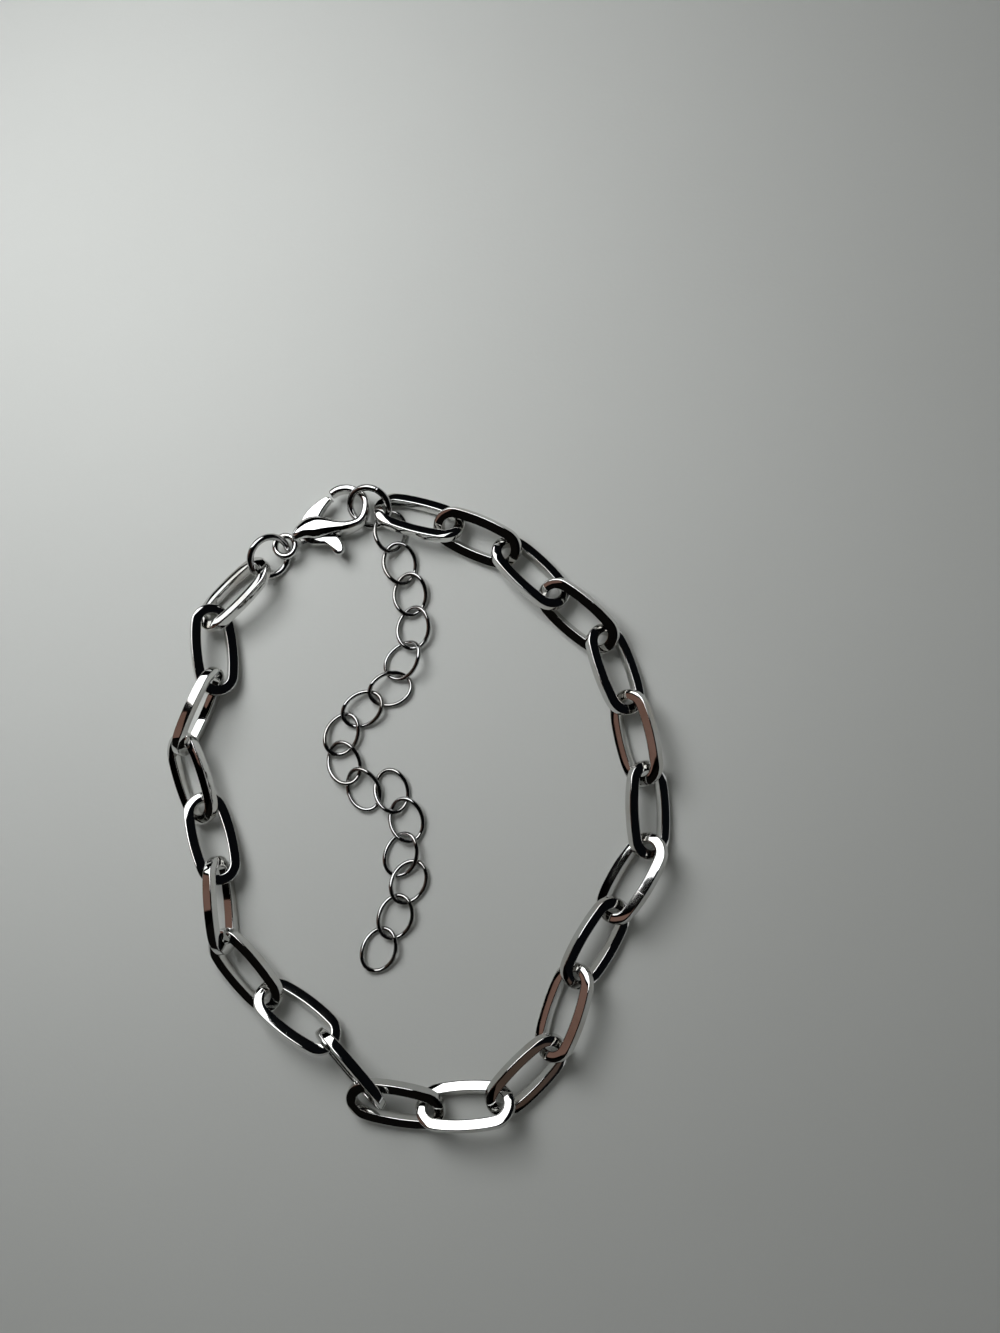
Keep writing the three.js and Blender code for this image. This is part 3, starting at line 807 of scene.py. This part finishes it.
@dataclass
class LobsterClasp:
    """The cast clasp: eye, domed body with a slot, hook, and the lever with gate and trigger."""

    heading_deg: float = 26.4
    pivot: tuple[float, float] = (2.8, 0.35)
    middle_height: float = 1.5
    dome_power: float = 2.7
    dome_roll_deg: float = 16.0
    section_points: int = 40
    steps: int = 7
    tip_round: float = 0.14
    tip_angles_deg: tuple[float, ...] = (30, 55, 75, 88)
    tip_shape: tuple[float, float] = (0.55, 0.45)
    eye_middle: float = 1.14
    eye_half: tuple[float, float] = (0.35, 0.37)
    eye_points: tuple[int, int] = (72, 24)
    slot: tuple[float, float, float, float] = (1.75, 5.95, 6.0, 1.3)
    pin: tuple[float, float] = (0.4, 1.5)
    bar_points: int = 40
    lever_height: float = 1.1
    lever_round: float = 0.17
    lever_round_steps: int = 5
    lever_steps: int = 6
    bore: float = 0.49
    crease_deg: float = 38.0

    def place(self) -> Matrix:
        """Works out the clasp's own frame, in metres, from the lever's hinge."""
        hinge = Vector(frame["joints"][0]["pos_m"])
        turn = Matrix.Rotation(math.radians(self.heading_deg), 4, "Z")
        back = Matrix.Translation((-self.pivot[0], -self.pivot[1], -self.middle_height))
        return Matrix.Translation(hinge) @ turn @ Matrix.Scale(MM, 4) @ back

    def casting(self) -> bpy.types.Object:
        """Skins the body and hook along their spine, with a dome that leans one way and a rounded tip."""
        rows = smooth_run(np.array(CASTING), self.steps)
        spine = rows[:, :2]
        along = np.gradient(spine, axis=0)
        along /= np.linalg.norm(along, axis=1, keepdims=True)
        angle = np.linspace(0, 2 * math.pi, self.section_points, endpoint=False)
        power = 2 / self.dome_power
        across = np.sign(np.cos(angle)) * np.abs(np.cos(angle)) ** power
        upward = np.sign(np.sin(angle)) * np.abs(np.sin(angle)) ** power
        least, rest = self.tip_shape
        tips = [(self.tip_round * math.sin(a), least + rest * math.cos(a))
                for a in np.radians(self.tip_angles_deg)]
        stations = [(spine[i], along[i], rows[i, 2], rows[i, 3]) for i in range(len(rows))]
        stations += [(spine[-1] + along[-1] * reach, along[-1], rows[-1, 2] * size, rows[-1, 3] * size)
                     for reach, size in tips]
        loops = []
        for middle, ahead, half_width, half_height in stations:
            side = np.array([-ahead[1], ahead[0]])
            roll = math.radians(self.dome_roll_deg) * side[1]
            wide, high = across * half_width, upward * half_height
            plan = middle + np.outer(wide * math.cos(roll) + high * math.sin(roll), side)
            height = self.middle_height + high * math.cos(roll) - wide * math.sin(roll)
            loops.append(np.column_stack([plan, height]))
        return solid_mesh("casting", np.array(loops), closed=False)

    def eye(self) -> bpy.types.Object:
        """Skins the eye, a ring of oval section."""
        turn, angle = (np.linspace(0, 2 * math.pi, points, endpoint=False) for points in self.eye_points)
        reach = self.eye_middle + self.eye_half[0] * np.cos(angle)
        height = self.middle_height + self.eye_half[1] * np.sin(angle)
        loops = [np.column_stack([reach * math.cos(t), reach * math.sin(t), height]) for t in turn]
        return solid_mesh("eye", np.array(loops), closed=True)

    def bar(self, radius: float, length: float) -> bpy.types.Object:
        """Makes an upright round bar on the lever's pivot.

        Args:
            radius: The bar's radius.
            length: Its length, centred on the clasp's mid height.

        Returns:
            The bar.
        """
        angle = np.linspace(0, 2 * math.pi, self.bar_points, endpoint=False)
        ring = np.array(self.pivot) + radius * np.column_stack([np.cos(angle), np.sin(angle)])
        heights = (self.middle_height - length / 2, self.middle_height + length / 2)
        loops = [np.column_stack([ring, np.full(len(ring), h)]) for h in heights]
        return solid_mesh("bar", np.array(loops), closed=False)

    def slot_block(self) -> bpy.types.Object:
        """Makes the block that is cut out of the body for the lever."""
        start, end, width, height = self.slot
        corners = np.array([(start, -width / 2), (end, -width / 2), (end, width / 2), (start, width / 2)])
        heights = (self.middle_height - height / 2, self.middle_height + height / 2)
        loops = [np.column_stack([corners, np.full(4, h)]) for h in heights]
        return solid_mesh("slot_block", np.array(loops), closed=False)

    def lever(self) -> bpy.types.Object:
        """Makes the lever, a thick plate with rounded edges, ready for its bore."""
        outline = smooth_run(np.array(LEVER_OUTLINE), self.lever_steps)
        ahead = np.roll(outline, -1, axis=0) - np.roll(outline, 1, axis=0)
        ahead /= np.linalg.norm(ahead, axis=1, keepdims=True)
        inward = np.column_stack([-ahead[:, 1], ahead[:, 0]])
        r, half = self.lever_round, self.lever_height / 2
        edge = [(r * (1 - math.cos(a)), half - r + r * math.sin(a))
                for a in np.linspace(0, math.pi / 2, self.lever_round_steps)]
        profile = [(inset, -height) for inset, height in reversed(edge)] + edge
        loops = []
        for inset, height in profile:
            level = np.full(len(outline), self.middle_height + height)
            loops.append(np.column_stack([outline + inward * inset, level]))
        return solid_mesh("lever", np.array(loops), closed=False)

    def finish(self, solid: bpy.types.Object, name: str) -> bpy.types.Object:
        """Places a solid of the clasp, smooths its shading between creases and dresses it.

        Args:
            solid: The solid, in the clasp's own frame.
            name: The finished piece's name.

        Returns:
            The finished piece.
        """
        solid.name = solid.data.name = name
        solid.data.transform(self.place())
        solid.data.shade_smooth()
        solid.data.set_sharp_from_angle(angle=math.radians(self.crease_deg))
        solid.data.materials.clear()
        solid.data.materials.append(CLASP_FINISH.material())
        return solid

    def build(self) -> list[bpy.types.Object]:
        """Builds the clasp's two pieces.

        Returns:
            The cast body and the lever.
        """
        body = carve(self.casting(), self.eye(), "UNION")
        body = carve(body, self.slot_block(), "DIFFERENCE")
        body = carve(body, self.bar(*self.pin), "UNION")
        lever = carve(self.lever(), self.bar(self.bore, 2 * self.lever_height), "DIFFERENCE")
        pieces = [self.finish(body, "cast_clasp_body"), self.finish(lever, "cast_clasp_lever")]
        settle_piece(pieces[0], "clasp_body", Body.CHAIN)
        settle_piece(pieces[1], "clasp_lever", Body.LEVER)
        return pieces


class Softbox(NamedTuple):
    """A flat soft light, square to a line from the bracelet at its azimuth and facing, in degrees.

    Its levels are the heights of its lower and upper edges, and its spread is its width, as angles seen from
    the bracelet. Its distance is in metres. A mirrored light shows in the metal only, and any other lights
    the floor only.
    """

    name: str
    azimuth: float
    facing: float
    levels: tuple[float, float]
    spread: float
    distance: float
    radiance: float
    colour: str
    mirrored: bool


@dataclass
class Studio:
    """The floor, soft light and camera."""

    floor_half: float = 2.5
    camera_place: tuple[float, float, float] = (19.17, -0.39, 109.51)
    camera_turn: tuple[float, float, float] = (0.1310, 0.0924, 0.0235)
    frame_height: float = 36.0
    lens: float = 27.96
    room: str = "#5E5F5E"
    boxes: tuple[Softbox, ...] = (
        Softbox("window_light", 125.5, 0, (30, 80), 63, 0.30, 3.4, "#FBFDFF", True),
        Softbox("window_side", 86, 0, (36, 78), 17, 0.30, 3.4, "#FBFDFF", True),
        Softbox("window_sill", 148, 0, (5.7, 18), 14, 0.30, 1.7, "#FBFDFF", True),
        Softbox("window_wash", 126, 48, (31, 65), 34, 0.14, 5.95, "#FBFDFF", False),
        Softbox("warm_wall", 180.5, 0, (18, 55), 28, 0.30, 0.20, "#FFCBB8", True),
        Softbox("warm_card", -55, 0, (15, 29), 16, 0.30, 0.08, "#FFD9C4", True),
        Softbox("far_strip", 0, 0, (1, 8), 100, 0.30, 0.6, "#FBFDFF", True),
        Softbox("dim_wall", 20, 0, (2, 75), 150, 0.60, 0.006, "#C4D0E6", True),
        Softbox("dim_corner", 240, 0, (2, 70), 74, 0.60, 0.005, "#E6DCD2", True),
    )

    def floor(self) -> bpy.types.Object:
        """Lays the pale floor that the bracelet lies on."""
        s = self.floor_half
        mesh = bpy.data.meshes.new("floor")
        mesh.from_pydata([(-s, -s, 0), (s, -s, 0), (s, s, 0), (-s, s, 0)], [], [(0, 1, 2, 3)])
        mesh.materials.append(FloorFinish().material())
        floor = bpy.data.objects.new("floor", mesh)
        bpy.context.scene.collection.objects.link(floor)
        return floor

    def light(self, box: Softbox) -> bpy.types.Object:
        """Hangs one soft light.

        Args:
            box: The light's place, size and strength.

        Returns:
            The light.
        """
        data = bpy.data.lights.new(box.name, "AREA")
        data.shape = "RECTANGLE"
        low, high = (box.distance * math.tan(math.radians(level - box.facing)) for level in box.levels)
        data.size, data.size_y = 2 * box.distance * math.tan(math.radians(box.spread / 2)), high - low
        data.energy = box.radiance * math.pi * data.size * data.size_y
        data.color = linear(box.colour)[:3]
        light = bpy.data.objects.new(box.name, data)
        around = Matrix.Rotation(math.radians(box.azimuth), 3, "Z")
        turn = around @ Matrix.Rotation(-math.radians(box.facing), 3, "Y")
        light.location = turn @ Vector((box.distance, 0, (low + high) / 2))
        light.rotation_euler = (turn @ Vector((1, 0, 0))).to_track_quat("Z", "Y").to_euler()
        light.visible_camera = False
        light.visible_glossy = box.mirrored
        light.visible_diffuse = not box.mirrored
        bpy.context.scene.collection.objects.link(light)
        return light

    def surround(self) -> bpy.types.World:
        """Makes the even grey room, which lights the floor but stays out of the metal's reflections."""
        world = bpy.data.worlds.new("grey_room")
        world.use_nodes = True
        tree = world.node_tree
        tree.nodes.clear()
        back = add_node(tree, "ShaderNodeBackground", {"Color": linear(self.room), "Strength": 1.0})
        add_node(tree, "ShaderNodeOutputWorld", {"Surface": back.outputs["Background"]})
        world.cycles_visibility.glossy = False
        bpy.context.scene.world = world
        return world

    def camera(self) -> bpy.types.Object:
        """Sets the camera where the bracelet is seen from nearly overhead."""
        data = bpy.data.cameras.new("camera")
        data.sensor_fit = "VERTICAL"
        data.sensor_height, data.lens = self.frame_height, self.lens
        data.clip_start, data.clip_end = 0.001, 20.0
        camera = bpy.data.objects.new("camera", data)
        turn = Vector(self.camera_turn)
        camera.location = Vector(self.camera_place) * MM
        camera.rotation_euler = Quaternion(turn.normalized(), turn.length).to_euler()
        bpy.context.scene.collection.objects.link(camera)
        bpy.context.scene.camera = camera
        return camera

    def build(self) -> None:
        """Sets up the floor, the lights, the room and the camera."""
        self.camera()
        self.floor()
        self.surround()
        for box in self.boxes:
            self.light(box)
        bpy.context.scene.view_settings.view_transform = "Standard"
        LOG.info("studio: %d soft lights", len(self.boxes))


def main() -> None:
    """Builds the bracelet's sub-assemblies in order, then the studio."""
    logging.basicConfig(level=logging.INFO, format="%(name)s: %(message)s")
    draw = np.random.default_rng(SEED)
    wires = WireSweep()
    PaperclipLinks().build(wires, draw)
    RoundRings(
        nodes=["clasp_ring", "end_ring"], packed_wire=0.70 * MM, wire=0.74 * MM, finish=RING_FINISH,
        slot=Slot.RING, seam=Seam(depth=0.12, half_width=0.035 * MM),
    ).build(wires)
    RoundRings(
        nodes=[f"extender_{number:02d}" for number in range(1, EXTENDER_COUNT + 1)],
        packed_wire=0.42 * MM, wire=0.47 * MM, finish=EXTENDER_FINISH, slot=Slot.EXTENDER,
        twist_deg=17.0, path_points=88, section_points=16,
    ).build(wires)
    LobsterClasp().build()
    Studio().build()


if __name__ == "__main__":
    main()
